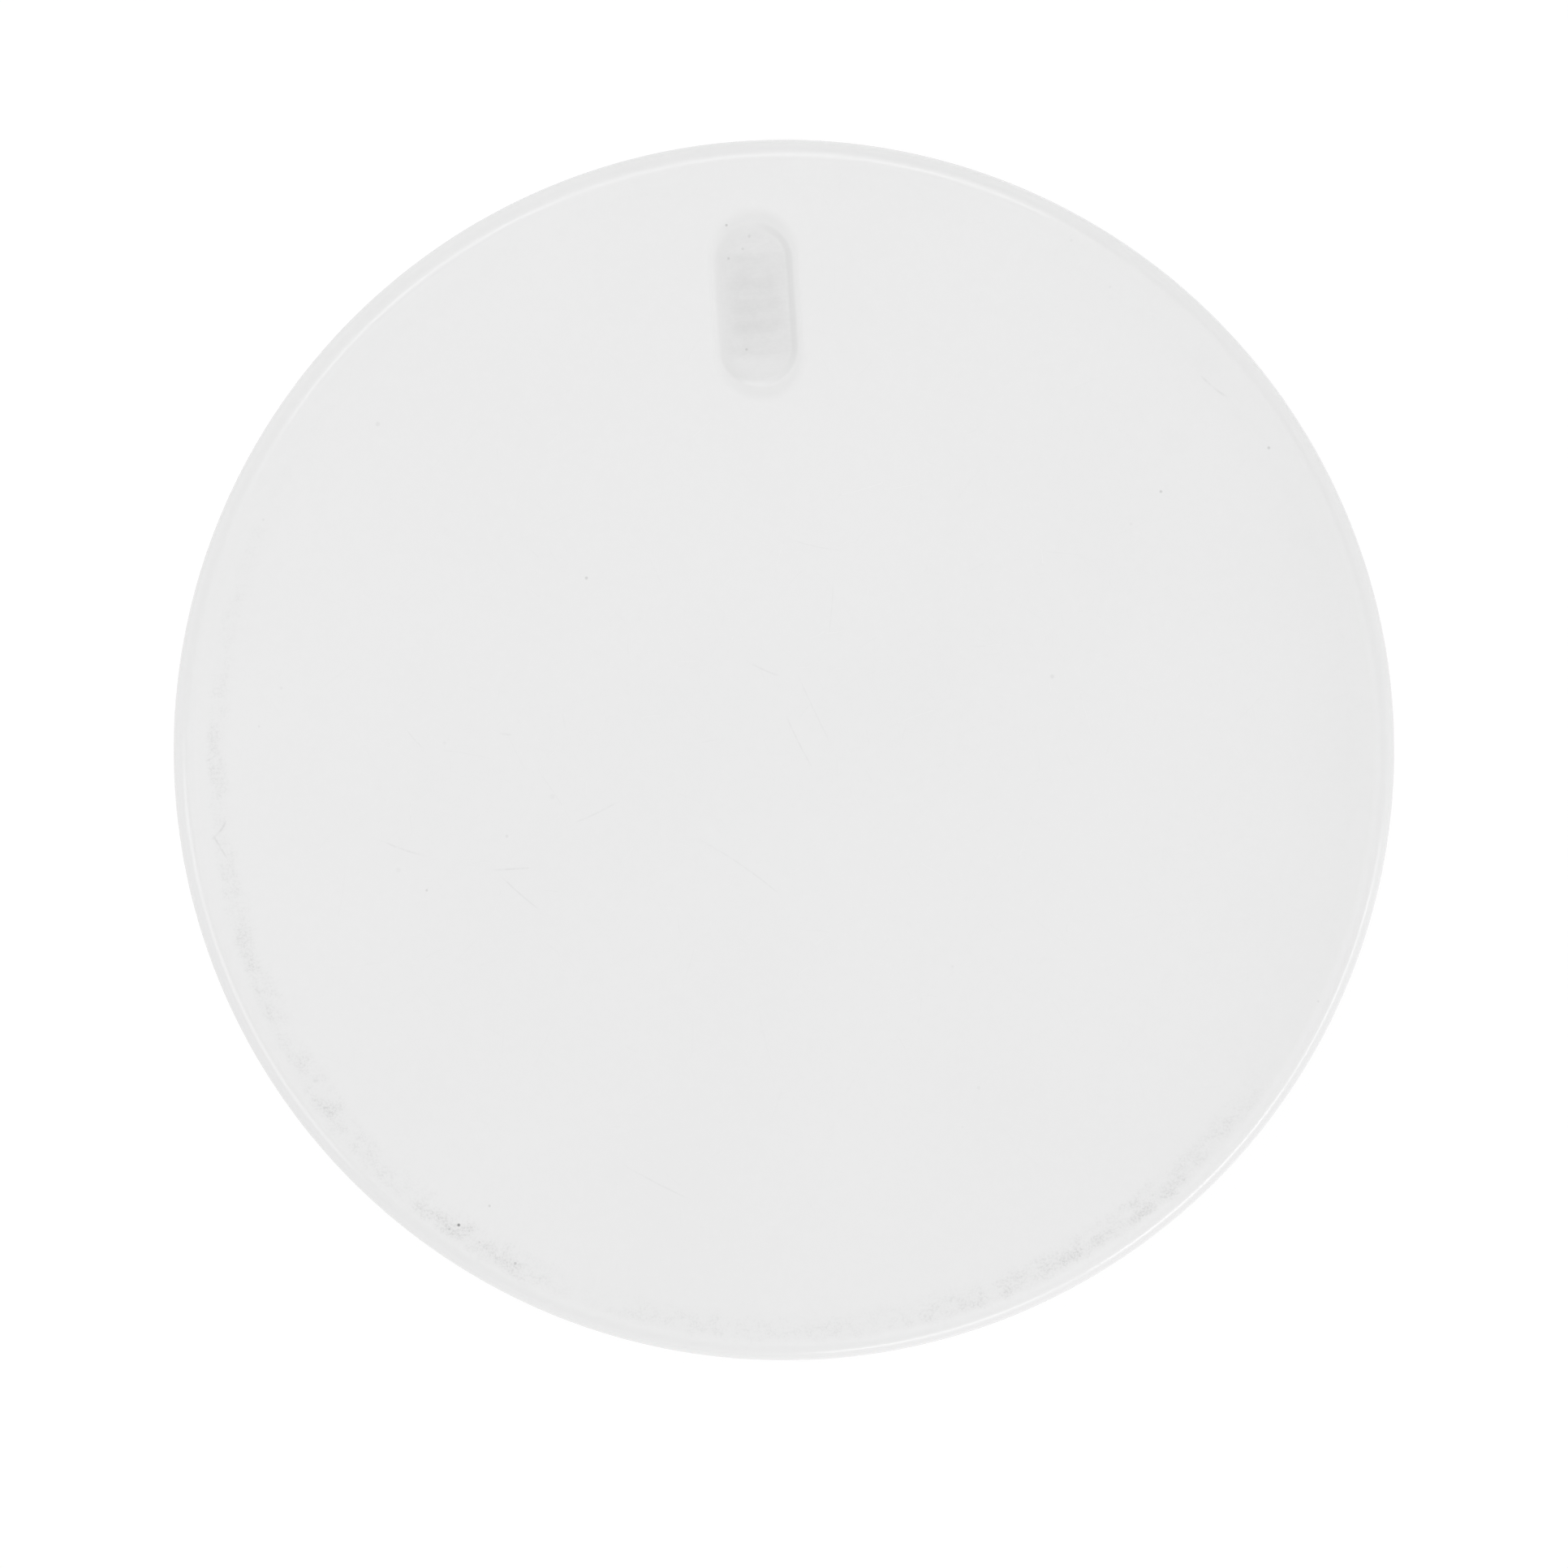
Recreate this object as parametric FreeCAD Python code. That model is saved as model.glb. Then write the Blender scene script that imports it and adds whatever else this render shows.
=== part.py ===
# Dealer button: a weighted plastic disc that marks the dealer's place at a card table.
# Two moulded half-shells close on a lap joint around a steel ring weight and a foam ring.
# The lower face carries an engraved, paint-filled mark of the four card suits.
#
# Millimetres, +Z up. The origin is the middle of the circle that the button rests on.
# The plain face is up, the marked face is down, and +Y points at the gate recess.
import FreeCAD, Part
import math
import os

Vector = FreeCAD.Vector
DOWN = Vector(0, 0, -1)
AXIS = Vector(0, 0, 1)
ORIGIN = Vector(0, 0, 0)

# Whole button
diameter = 50.0
thickness = 8.0
rim_fillet = 0.95           # round where each face meets the side wall
wall_draft = 1.0            # degrees that the side wall leans in, away from the seam
seam_notch = 0.2            # chamfer on each shell, a small V all round at the seam
land_width = 1.0            # flat ring next to the fillet, the only part that touches a table
dish_depth = 0.1            # how far the middle of each face lies inside the land

# Shell walls
face_wall = 1.5
side_wall = 2.0
corner_fillet = 0.6         # inside corner between face and side

# Lap joint at the seam
tongue_height = 1.2
joint_clearance = 0.05

# Posts of the plain shell, and the sockets they are glued into
post_count = 3
post_circle_radius = 11.0
post_radius = 1.5
post_tip_chamfer = 0.4
boss_wall = 1.15
boss_height = 2.8           # above the floor of the marked shell
socket_floor = 0.6          # plastic left under the socket

# Steel ring weight, with the foam ring that presses it against the plain shell
weight_inner_radius = 16.25
weight_outer_radius = 20.2
weight_thickness = 3.4
weight_chamfer = 0.25
weight_clearance = 0.15
hub_wall = 1.1              # round rib inside the weight
hub_height = 3.8
fin_count = 6               # short fins between the side wall and the weight
fin_thickness = 1.0
fin_height = 3.2

# Gate recess in the plain face: a capsule whose long axis is radial
recess_radius = 18.2        # from the button's axis to the capsule's centre
recess_width = 3.0
recess_length = 6.5
recess_depth = 0.12         # below the dished face, as is the lip's
recess_wall_taper = 0.1     # how far the wall leans in, from its top to the floor
lip_width = 3.7             # soft ramp round the recess, where it meets the face
lip_length = 7.9
lip_depth = 0.03
lip_overrun = 0.05          # the ramp's cutting shape carries on this far above the face
ripple_count = 3
ripple_pitch = 0.87
ripple_depth = 0.015

# Mark on the lower face
engraving_depth = 0.5
paint_sink = 0.16           # the paint stops this far inside the land's level
border_radius = 20.0        # middle of the painted circle
border_width = 0.8
pip_circle_radius = 11.5
pip_width = 7.6
pip_height = 8.4
stem_half_width = 0.35
stem_foot_half_width = 1.7
stem_height = 3.4
stem_waist_share = 0.22     # of the stem's flare that is left at the waist
stem_waist_rise = 0.35      # waist's height as a share of the stem's
heart_height_share = 0.92   # of the pip height, as is the spade's blade
spade_blade_share = 0.86
diamond_width_share = 0.86  # of the pip width, as is the club's leaf radius
diamond_hollow = 0.88       # sides pass this share of the way out to their straight middle
club_leaf_share = 0.245
club_leaf_rise = 1.72       # top leaf above the side leaves, in leaf radii
club_core_share = 0.62      # the disc that joins the leaves, in leaf radii
club_core_rise = 0.5

root_depth = 0.5            # how far the tongue and the fins reach into the wall they grow from
edge_slack = 0.01           # when an edge is picked by its height

# Sizes that follow from the ones above
outer_radius = diameter / 2
seam_height = thickness / 2
wall_foot = seam_height + seam_notch
fillet_height = thickness - rim_fillet
draft_angle = math.radians(wall_draft)
wall_lean = (fillet_height - wall_foot) * math.tan(draft_angle)
fillet_radius = outer_radius - wall_lean - rim_fillet / math.cos(draft_angle)
land_inner_radius = fillet_radius - land_width
dish_radius = (land_inner_radius**2 + dish_depth**2) / (2 * dish_depth)
cavity_radius = outer_radius - side_wall
floor_height = face_wall
ceiling_height = thickness - face_wall
skirt_radius = outer_radius - side_wall / 2
hub_outer_radius = weight_inner_radius - weight_clearance


def line(start, end):
    return Part.makeLine(start, end)


def arc(start, middle, end):
    return Part.Arc(start, middle, end).toShape()


def on_circle(centre, radius, degrees):
    """The point at an angle on a circle in the XZ plane."""
    angle = math.radians(degrees)
    return centre + Vector(radius * math.cos(angle), 0, radius * math.sin(angle))


def disc(radius, bottom, top):
    return Part.makeCylinder(radius, top - bottom, Vector(0, 0, bottom))


def ring(inner, outer, bottom, top):
    return disc(outer, bottom, top).cut(disc(inner, bottom, top))


def around(count, start_degrees=0.0):
    """Evenly spaced angles, in degrees."""
    return [start_degrees + 360.0 * turn / count for turn in range(count)]


def turned(shape, degrees):
    copy = shape.copy()
    copy.rotate(ORIGIN, AXIS, degrees)
    return copy


# --- the two half-shells ---------------------------------------------------------------


def dish_height(radius):
    """Height of the plain face's shallow spherical dish at a distance from the axis."""
    return thickness - dish_depth + dish_radius - math.sqrt(dish_radius**2 - radius**2)


def solid_half():
    """The upper half of the button, solid, from the seam to the face."""
    fillet_centre = Vector(fillet_radius, 0, fillet_height)
    half_land = land_inner_radius / 2

    seam_middle = Vector(0, 0, seam_height)
    seam_edge = Vector(outer_radius - seam_notch, 0, seam_height)
    wall_start = Vector(outer_radius, 0, wall_foot)
    wall_end = on_circle(fillet_centre, rim_fillet, wall_draft)
    fillet_middle = on_circle(fillet_centre, rim_fillet, (90 + wall_draft) / 2)
    land_outer = Vector(fillet_radius, 0, thickness)
    land_inner = Vector(land_inner_radius, 0, thickness)
    dish_bottom = Vector(0, 0, dish_height(0))
    dish_middle = Vector(half_land, 0, dish_height(half_land))

    outline = Part.Wire(
        [
            line(seam_middle, seam_edge),
            line(seam_edge, wall_start),
            line(wall_start, wall_end),
            arc(wall_end, fillet_middle, land_outer),
            line(land_outer, land_inner),
            arc(land_inner, dish_middle, dish_bottom),
            line(dish_bottom, seam_middle),
        ]
    )
    return Part.Face(outline).revolve(ORIGIN, AXIS, 360)


def flipped(shape):
    """The same shape, mirrored through the seam plane."""
    return shape.mirror(Vector(0, 0, seam_height), AXIS)


def cavity_half():
    """The hollow above the seam, with its inside corner rounded."""
    hollow = disc(cavity_radius, seam_height, ceiling_height)
    corner = [edge for edge in hollow.Edges if edge.BoundBox.ZMin > seam_height + edge_slack]
    return hollow.makeFillet(corner_fillet, corner)


def locating_post():
    """A round post from the ceiling, with a chamfered tip that enters its socket."""
    tip = floor_height + socket_floor + post_tip_chamfer / 2
    post = Part.makeCylinder(
        post_radius, ceiling_height - tip, Vector(post_circle_radius, 0, tip)
    )
    tip_edge = [edge for edge in post.Edges if edge.BoundBox.ZMax < tip + edge_slack]
    return post.makeChamfer(post_tip_chamfer, tip_edge)


def post_boss():
    foot = Vector(post_circle_radius, 0, floor_height)
    return Part.makeCylinder(post_radius + boss_wall, boss_height, foot)


def post_socket():
    return Part.makeCylinder(
        post_radius + joint_clearance,
        boss_height,
        Vector(post_circle_radius, 0, floor_height + socket_floor),
    )


def weight_fin():
    """A short fin from the side wall to just short of the weight's outer edge."""
    start = weight_outer_radius + weight_clearance
    length = cavity_radius - start + root_depth
    corner = Vector(start, -fin_thickness / 2, floor_height)
    return Part.makeBox(length, fin_thickness, fin_height, corner)


# --- the gate recess in the plain face -------------------------------------------------


def capsule(width, length, height):
    """A closed capsule outline centred on the recess, long axis along Y."""
    end_radius = width / 2
    straight = length / 2 - end_radius
    right_low = Vector(end_radius, recess_radius - straight, height)
    right_high = Vector(end_radius, recess_radius + straight, height)
    left_high = Vector(-end_radius, recess_radius + straight, height)
    left_low = Vector(-end_radius, recess_radius - straight, height)
    far_tip = Vector(0, recess_radius + length / 2, height)
    near_tip = Vector(0, recess_radius - length / 2, height)
    return Part.Wire(
        [
            line(right_low, right_high),
            arc(right_high, far_tip, left_high),
            line(left_high, left_low),
            arc(left_low, near_tip, right_low),
        ]
    )


def gate_recess():
    """The ramped lip, the pocket below it and its floor's shallow ripples, square to the dish."""
    face_height = dish_height(recess_radius)
    pocket_top = face_height - lip_depth
    pocket_floor = face_height - recess_depth
    floor_width = recess_width - 2 * recess_wall_taper
    floor_length = recess_length - 2 * recess_wall_taper
    spread = (lip_depth + lip_overrun) / lip_depth
    overrun_width = recess_width + (lip_width - recess_width) * spread
    overrun_length = recess_length + (lip_length - recess_length) * spread
    lip = Part.makeLoft(
        [
            capsule(overrun_width, overrun_length, face_height + lip_overrun),
            capsule(recess_width, recess_length, pocket_top),
        ],
        True,
        True,
    )
    pocket = Part.makeLoft(
        [
            capsule(recess_width, recess_length, pocket_top),
            capsule(floor_width, floor_length, pocket_floor),
        ],
        True,
        True,
    )
    floor_face = Part.Face(capsule(floor_width, floor_length, pocket_floor))
    below_floor = floor_face.extrude(DOWN * ripple_depth * 2)
    ripple_radius = ((ripple_pitch / 2) ** 2 + ripple_depth**2) / (2 * ripple_depth)
    recess = lip.fuse(pocket)
    for number in range(ripple_count):
        along = recess_radius + (number - (ripple_count - 1) / 2) * ripple_pitch
        ripple = Part.makeCylinder(
            ripple_radius,
            recess_width,
            Vector(-recess_width / 2, along, pocket_floor - ripple_depth + ripple_radius),
            Vector(1, 0, 0),
        )
        recess = recess.fuse(ripple.common(below_floor))
    face_slope = math.degrees(math.asin(recess_radius / dish_radius))
    recess.rotate(Vector(0, recess_radius, face_height), Vector(1, 0, 0), face_slope)
    return recess


# --- the mark on the lower face --------------------------------------------------------


def heart_outline(width, height):
    """Two round lobes and two long arcs to the tip. The tip is at the bottom."""
    lobe = width / 4
    shoulder = height / 2 - lobe
    drop = shoulder + height / 2
    side_radius = (4 * lobe**2 + drop**2) / (4 * lobe)
    side_centre = Vector(side_radius - 2 * lobe, shoulder, 0)
    tip_angle = math.atan2(-drop, -side_centre.x) + 2 * math.pi
    middle_angle = (math.pi + tip_angle) / 2
    bulge = side_centre + Vector(
        side_radius * math.cos(middle_angle), side_radius * math.sin(middle_angle), 0
    )
    cleft = Vector(0, shoulder, 0)
    left = Vector(-2 * lobe, shoulder, 0)
    right = Vector(2 * lobe, shoulder, 0)
    tip = Vector(0, shoulder - drop, 0)
    return Part.Wire(
        [
            arc(cleft, Vector(-lobe, shoulder + lobe, 0), left),
            arc(left, bulge, tip),
            arc(tip, Vector(-bulge.x, bulge.y, 0), right),
            arc(right, Vector(lobe, shoulder + lobe, 0), cleft),
        ]
    )


def diamond_outline(width, height):
    """Four slightly hollow sides."""
    corners = [
        Vector(0, height / 2, 0),
        Vector(-width / 2, 0, 0),
        Vector(0, -height / 2, 0),
        Vector(width / 2, 0, 0),
    ]
    sides = []
    for start, end in zip(corners, corners[1:] + corners[:1]):
        sides.append(arc(start, (start + end) * (diamond_hollow / 2), end))
    return Part.Wire(sides)


def stem(bottom, height):
    """The flared foot of the spade and the club, between z = 0 and the height given."""
    foot = -pip_height / 2
    top = foot + stem_height
    narrow = stem_half_width
    wide = stem_foot_half_width
    waist_x = narrow + (wide - narrow) * stem_waist_share
    waist_y = foot + stem_height * stem_waist_rise
    outline = Part.Wire(
        [
            line(Vector(-wide, foot, 0), Vector(wide, foot, 0)),
            arc(Vector(wide, foot, 0), Vector(waist_x, waist_y, 0), Vector(narrow, top, 0)),
            line(Vector(narrow, top, 0), Vector(-narrow, top, 0)),
            arc(Vector(-narrow, top, 0), Vector(-waist_x, waist_y, 0), Vector(-wide, foot, 0)),
        ]
    )
    return prism(outline, bottom, height)


def prism(outline, bottom, height):
    solid = Part.Face(outline).extrude(AXIS * height)
    solid.translate(AXIS * bottom)
    return solid


def heart(bottom, height):
    return prism(heart_outline(pip_width, pip_height * heart_height_share), bottom, height)


def diamond(bottom, height):
    outline = diamond_outline(pip_width * diamond_width_share, pip_height)
    return prism(outline, bottom, height)


def spade(bottom, height):
    """An upturned heart on a stem."""
    blade_height = pip_height * spade_blade_share
    blade = prism(heart_outline(pip_width, blade_height), bottom, height)
    blade.rotate(ORIGIN, AXIS, 180)
    blade.translate(Vector(0, (pip_height - blade_height) / 2, 0))
    return blade.fuse(stem(bottom, height)).removeSplitter()


def club(bottom, height):
    """Three round leaves and a stem."""
    leaf = pip_width * club_leaf_share
    top_leaf = Vector(0, pip_height / 2 - leaf, bottom)
    side_y = top_leaf.y - leaf * club_leaf_rise
    leaves = Part.makeCylinder(leaf, height, top_leaf)
    for side in (-1, 1):
        middle = Vector(side * (pip_width / 2 - leaf), side_y, bottom)
        leaves = leaves.fuse(Part.makeCylinder(leaf, height, middle))
    core_centre = Vector(0, side_y + leaf * club_core_rise, bottom)
    core = Part.makeCylinder(leaf * club_core_share, height, core_centre)
    return leaves.fuse([core, stem(bottom, height)]).removeSplitter()


def border(bottom, height):
    half = border_width / 2
    return ring(border_radius - half, border_radius + half, bottom, bottom + height)


def on_face(pip, degrees):
    """A pip moved out along +X's turn, with its top pointing away from the middle."""
    moved = turned(pip, -90)
    moved.translate(Vector(pip_circle_radius, 0, 0))
    return turned(moved, degrees)


def mark(bottom, top):
    """Every shape of the mark as name to solid, between two heights."""
    height = top - bottom
    pips = {"spade": spade, "heart": heart, "club": club, "diamond": diamond}
    shapes = {"border": border(bottom, height)}
    for (name, make), degrees in zip(pips.items(), around(len(pips), 90.0)):
        shapes[name] = on_face(make(bottom, height), degrees)
    return shapes


# --- the pieces ------------------------------------------------------------------------


def plain_face_shell():
    """Upper half: skirt outside the lap joint, three posts, gate recess in its face."""
    shell = solid_half().cut(cavity_half())
    rebate_top = seam_height + tongue_height + 2 * joint_clearance
    shell = shell.cut(disc(skirt_radius, seam_height - 1, rebate_top))
    posts = [turned(locating_post(), degrees) for degrees in around(post_count, 30.0)]
    return shell.fuse(posts).removeSplitter().cut(gate_recess())


def marked_face_shell():
    """Lower half: tongue, sockets, hub rib and fins inside, engraved mark outside."""
    shell = flipped(solid_half()).cut(flipped(cavity_half()))
    tongue = ring(
        cavity_radius,
        skirt_radius - joint_clearance,
        seam_height - root_depth,
        seam_height + tongue_height,
    )
    hub = ring(
        hub_outer_radius - hub_wall, hub_outer_radius, floor_height, floor_height + hub_height
    )
    bosses = [turned(post_boss(), degrees) for degrees in around(post_count, 30.0)]
    fins = [turned(weight_fin(), degrees) for degrees in around(fin_count)]
    shell = shell.fuse([tongue, hub] + bosses + fins).removeSplitter()
    for degrees in around(post_count, 30.0):
        shell = shell.cut(turned(post_socket(), degrees))
    return shell.cut(list(mark(-1.0, engraving_depth).values()))


def ring_weight():
    """Turned steel ring, its four edges broken."""
    weight = ring(
        weight_inner_radius,
        weight_outer_radius,
        ceiling_height - weight_thickness,
        ceiling_height,
    )
    round_edges = [edge for edge in weight.Edges if edge.BoundBox.ZLength < edge_slack]
    return weight.makeChamfer(weight_chamfer, round_edges)


def foam_ring():
    """Soft ring that fills the gap between the marked shell and the weight."""
    return ring(
        weight_inner_radius,
        weight_outer_radius,
        floor_height,
        ceiling_height - weight_thickness,
    )


def paint_fills():
    """The paint in each engraved shape, as node name to solid."""
    fills = mark(paint_sink, engraving_depth)
    return {name + "_fill": solid for name, solid in fills.items()}


nodes = {
    "plain_face_shell": plain_face_shell(),
    "marked_face_shell": marked_face_shell(),
    "ring_weight": ring_weight(),
    "foam_ring": foam_ring(),
    **paint_fills(),
}

os.makedirs("parts", exist_ok=True)
for node_name, node_shape in nodes.items():
    solids = node_shape.Solids
    if len(solids) != 1 or not node_shape.isValid():
        raise RuntimeError(node_name + " isn't one valid solid")
    solids[0].exportStep("parts/" + node_name + ".step")
    print(node_name, round(solids[0].Volume, 1), "mm3")
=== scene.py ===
"""The looks of the dealer button: glossy white mouldings with fine wear, seen from straight above.

Everything is in metres, in the CAD's own frame: the marked face lies on z = 0, the plain face is
up, and +Y points at the gate recess.
"""
import math

import bmesh
import bpy
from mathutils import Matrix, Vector


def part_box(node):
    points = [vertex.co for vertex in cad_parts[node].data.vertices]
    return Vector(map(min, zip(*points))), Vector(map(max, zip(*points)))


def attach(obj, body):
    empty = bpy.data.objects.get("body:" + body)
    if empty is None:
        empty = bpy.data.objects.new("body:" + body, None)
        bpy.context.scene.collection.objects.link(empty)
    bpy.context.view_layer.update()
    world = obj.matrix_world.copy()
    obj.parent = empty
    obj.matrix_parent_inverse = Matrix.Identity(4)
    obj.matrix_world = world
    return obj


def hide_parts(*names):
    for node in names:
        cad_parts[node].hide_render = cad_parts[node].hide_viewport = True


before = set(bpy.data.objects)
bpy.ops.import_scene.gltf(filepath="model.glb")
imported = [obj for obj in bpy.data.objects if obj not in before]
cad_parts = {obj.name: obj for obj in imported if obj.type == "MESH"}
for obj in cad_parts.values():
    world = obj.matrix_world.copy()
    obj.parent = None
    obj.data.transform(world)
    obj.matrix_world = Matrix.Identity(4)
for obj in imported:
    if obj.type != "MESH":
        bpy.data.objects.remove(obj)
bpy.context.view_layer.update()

MM = 0.001

# Places taken from the frame
shell_low, shell_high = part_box("plain_face_shell")
_, weight_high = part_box("ring_weight")
outer_radius = shell_high.x
thickness = shell_high.z
seam_height = thickness / 2
ceiling_height = weight_high.z
post_tip = shell_low.z

# Driving sizes of the plain shell
rim_fillet = 0.95 * MM
wall_lean = 0.05 * MM
seam_notch = 0.2 * MM
land_width = 1.0 * MM
dish_depth = 0.1 * MM
side_wall = 2.0 * MM
corner_fillet = 0.6 * MM
rebate_depth = 1.3 * MM
post_count = 3
post_first_angle = 30
post_circle_radius = 11.0 * MM
post_radius = 1.5 * MM
post_tip_chamfer = 0.4 * MM
edge_round = 0.06 * MM

# The gate recess: half widths and half straight lengths of capsules about one centre
recess_radius = 18.2 * MM
recess_half_width = 1.5 * MM
recess_half_straight = 1.75 * MM
lip_half_width = 1.85 * MM
lip_half_straight = 2.1 * MM
lip_depth = 0.03 * MM
recess_depth = 0.12 * MM
recess_wall_spread = 0.4 * MM
ripple_pitch = 0.87 * MM
ripple_depth = 0.015 * MM
ripple_count = 3

# Derived
fillet_top_radius = outer_radius - wall_lean - rim_fillet
land_inner_radius = fillet_top_radius - land_width
dish_sphere_radius = (land_inner_radius**2 + dish_depth**2) / (2 * dish_depth)
cavity_radius = outer_radius - side_wall
skirt_radius = outer_radius - side_wall / 2

RING_POINTS = 512           # points in every large ring of a shell's mesh
POST_POINTS = 48            # points in every ring of a post
WELD_DISTANCE = 1e-8        # vertices closer than this are one

# Finish of the mouldings
plastic_white = 0.793       # linear base colour where the plastic is clean
plastic_specular = 0.45
peel_height = 1.5e-6        # the faint waviness of a polished moulding

# Staging
floor_half_size = 3.0
lamp_distance = 0.7


# --- mesh helpers ----------------------------------------------------------------------


def new_object(name, mesh):
    piece = bpy.data.objects.new(name, mesh)
    bpy.context.scene.collection.objects.link(piece)
    return piece


def circle(radius, height, centre=(0.0, 0.0), count=RING_POINTS):
    """A closed ring of points."""
    points = []
    for step in range(count):
        angle = 2 * math.pi * step / count
        x = centre[0] + radius * math.cos(angle)
        y = centre[1] + radius * math.sin(angle)
        points.append(Vector((x, y, height)))
    return points


def corner_arc(before, corner, after, size, steps):
    """Points of the small arc that rounds one corner of a profile."""
    towards_before = (before - corner).normalized()
    towards_after = (after - corner).normalized()
    half = towards_before.angle(towards_after) / 2
    reach = size / math.tan(half)
    centre = corner + (towards_before + towards_after).normalized() * (size / math.sin(half))
    start = corner + towards_before * reach - centre
    end = corner + towards_after * reach - centre
    turn = start.angle_signed(end)
    points = []
    for step in range(steps + 1):
        angle = -turn * step / steps
        cos, sin = math.cos(angle), math.sin(angle)
        turned = Vector((start.x * cos - start.y * sin, start.x * sin + start.y * cos))
        points.append(centre + turned)
    return points


def rounded(corners):
    """A (radius, height) profile from corners (radius, height, round, steps)."""
    flat = [Vector(corner[:2]) for corner in corners]
    points = []
    for index, (_, _, size, steps) in enumerate(corners):
        if size == 0:
            points.append(flat[index])
            continue
        points += corner_arc(flat[index - 1], flat[index], flat[index + 1], size, steps)
    return points


def add_rings(bm, rings):
    """Skins a list of equal rings and returns the first and last rings' vertices."""
    made = [[bm.verts.new(point) for point in ring] for ring in rings]
    for lower, upper in zip(made, made[1:]):
        count = len(lower)
        for step in range(count):
            after = (step + 1) % count
            bm.faces.new((lower[step], lower[after], upper[after], upper[step]))
    return made[0], made[-1]


def finished_mesh(bm, name):
    """Closes flat openings, makes the normals agree, and returns the mesh."""
    bmesh.ops.remove_doubles(bm, verts=bm.verts, dist=WELD_DISTANCE)
    openings = [edge for edge in bm.edges if edge.is_boundary]
    if openings:
        bmesh.ops.triangle_fill(bm, use_beauty=True, edges=openings)
    bmesh.ops.recalc_face_normals(bm, faces=bm.faces)
    for face in bm.faces:
        face.smooth = True
    open_edges = sum(1 for edge in bm.edges if not edge.is_manifold)
    print(name, len(bm.faces), "faces", open_edges, "open edges")
    mesh = bpy.data.meshes.new(name)
    bm.to_mesh(mesh)
    bm.free()
    return mesh


# --- the plain face's moulding ---------------------------------------------------------


def dish_height(x, y):
    """Height of the dished plain face at a point inside the land."""
    return thickness - dish_depth + (x * x + y * y) / (2 * dish_sphere_radius)


def recess_stations():
    """For each point of a ring: its place along the recess's middle line, -1 to 1, and the way the
    capsule's outline faces there. Each is found by a ray from the recess's centre to the ring."""
    stations = []
    for point in circle(land_inner_radius, 0.0):
        ray = Vector((point.x, point.y - recess_radius)).normalized()
        side = math.copysign(1.0, ray.x)
        reach = lip_half_width / max(abs(ray.x), 1e-9)
        along = ray.y * reach
        if abs(along) <= lip_half_straight:
            stations.append((along / lip_half_straight, Vector((side, 0.0))))
            continue
        end = math.copysign(lip_half_straight, ray.y)
        shadow = ray.y * end
        reach = shadow + math.sqrt(shadow**2 - end**2 + lip_half_width**2)
        facing = (ray * reach - Vector((0.0, end))) / lip_half_width
        stations.append((math.copysign(1.0, ray.y), facing))
    return stations


def ripple(local_y):
    """Depth of the floor's shallow ripples at a distance along the recess, 0 to 1."""
    reach = ripple_count * ripple_pitch / 2
    abruptness = 8
    fade = max(0.0, 1 - (abs(local_y) / reach) ** abruptness)
    return fade * (0.5 + 0.5 * math.cos(2 * math.pi * local_y / ripple_pitch))


def capsule_ring(stations, half_width, half_straight, depth, rippled=0.0):
    """One capsule ring of the recess, a depth below the dished face."""
    ring = []
    for along, facing in stations:
        x = facing.x * half_width
        local_y = along * half_straight + facing.y * half_width
        y = recess_radius + local_y
        sink = rippled * ripple_depth * ripple(local_y)
        ring.append(Vector((x, y, dish_height(x, y) - depth - sink)))
    return ring


def eased(share):
    """A smooth step from 0 to 1."""
    return share * share * (3 - 2 * share)


def recess_rings():
    """The rings from the lip's outer edge down the soft wall and across the floor to its middle."""
    stations = recess_stations()
    wall_top = recess_half_width + recess_wall_spread / 2
    wall_foot = recess_half_width - recess_wall_spread / 2
    lip_steps, wall_steps, floor_steps = 10, 12, 12
    rings = []
    for step in range(lip_steps):
        share = step / lip_steps
        half_width = lip_half_width + (wall_top - lip_half_width) * share
        half_straight = lip_half_straight + (recess_half_straight - lip_half_straight) * share
        rings.append(capsule_ring(stations, half_width, half_straight, lip_depth * eased(share)))
    for step in range(wall_steps):
        share = step / wall_steps
        half_width = wall_top + (wall_foot - wall_top) * share
        depth = lip_depth + (recess_depth - lip_depth) * eased(share)
        rings.append(capsule_ring(stations, half_width, recess_half_straight, depth))
    for step in range(floor_steps + 1):
        share = step / floor_steps
        half_width = wall_foot * (1 - share)
        rippled = eased(min(1.0, share * 2))
        rings.append(
            capsule_ring(stations, half_width, recess_half_straight, recess_depth, rippled)
        )
    return rings


def rim_profile():
    """From the lap joint over the seam's chamfer, up the wall and over the rim to the land."""
    fillet_foot = thickness - rim_fillet
    profile = rounded(
        [
            (skirt_radius, seam_height + rebate_depth / 2, 0, 0),
            (skirt_radius, seam_height, edge_round, 3),
            (outer_radius - seam_notch, seam_height, edge_round, 3),
            (outer_radius, seam_height + seam_notch, edge_round, 3),
            (outer_radius - wall_lean / 2, (seam_height + fillet_foot) / 2, 0, 0),
        ]
    )
    fillet_steps = 18
    for step in range(fillet_steps + 1):
        angle = math.pi / 2 * step / fillet_steps
        radius = fillet_top_radius + rim_fillet * math.cos(angle)
        profile.append(Vector((radius, fillet_foot + rim_fillet * math.sin(angle))))
    land_steps = 4
    for step in range(1, land_steps + 1):
        profile.append(Vector((fillet_top_radius - land_width * step / land_steps, thickness)))
    return profile


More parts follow.
